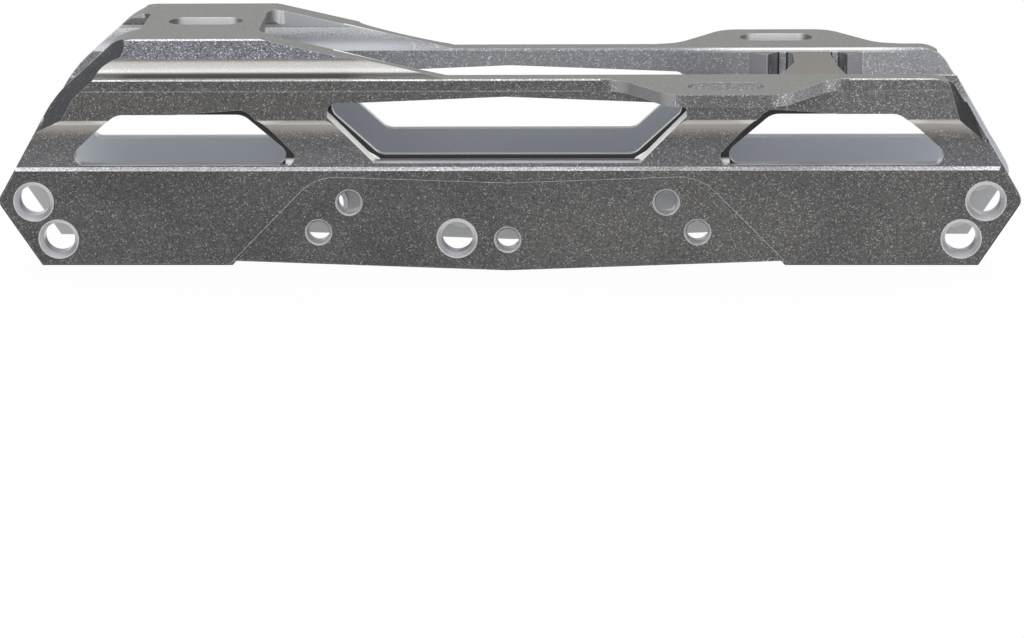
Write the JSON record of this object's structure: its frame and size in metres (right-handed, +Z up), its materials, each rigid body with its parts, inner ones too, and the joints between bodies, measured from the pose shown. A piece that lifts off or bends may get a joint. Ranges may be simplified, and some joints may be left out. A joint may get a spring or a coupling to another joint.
{
  "type": "inline skate frame",
  "caption": "Inline skate frame: open aluminium channel with windowed walls, a raised heel deck and toe wings slotted for a boot, and bushed walls that take the wheel axles.",
  "frame": {"origin": "middle of the wheelbase, on the middle plane between the walls, at the height of the frame's lowest point", "axes": "+X from heel to toe, +Y across towards the inner side of the right foot, +Z up towards the boot"},
  "size_m": [0.2606, 0.0764, 0.0619],
  "materials": {
    "frame": "blasted and anodised dark grey, with smooth machined faces",
    "bush": "turned, bright",
    "insert": "turned and threaded, satin"
  },
  "bodies": {
    "root": {"frame_body": "frame", "bush_rear_high": "bush", "bush_rear_low": "bush", "bush_midrear_high": "bush", "bush_midrear_low": "bush", "bush_centre_offset": "bush", "bush_centre": "bush", "bush_midfront_high": "bush", "bush_midfront_low": "bush", "bush_front_low": "bush", "bush_front_high": "bush", "insert_rear_high": "insert", "insert_rear_low": "insert", "insert_midrear_high": "insert", "insert_midrear_low": "insert", "insert_centre_offset": "insert", "insert_centre": "insert", "insert_midfront_high": "insert", "insert_midfront_low": "insert", "insert_front_low": "insert", "insert_front_high": "insert"}
  },
  "joints": []
}
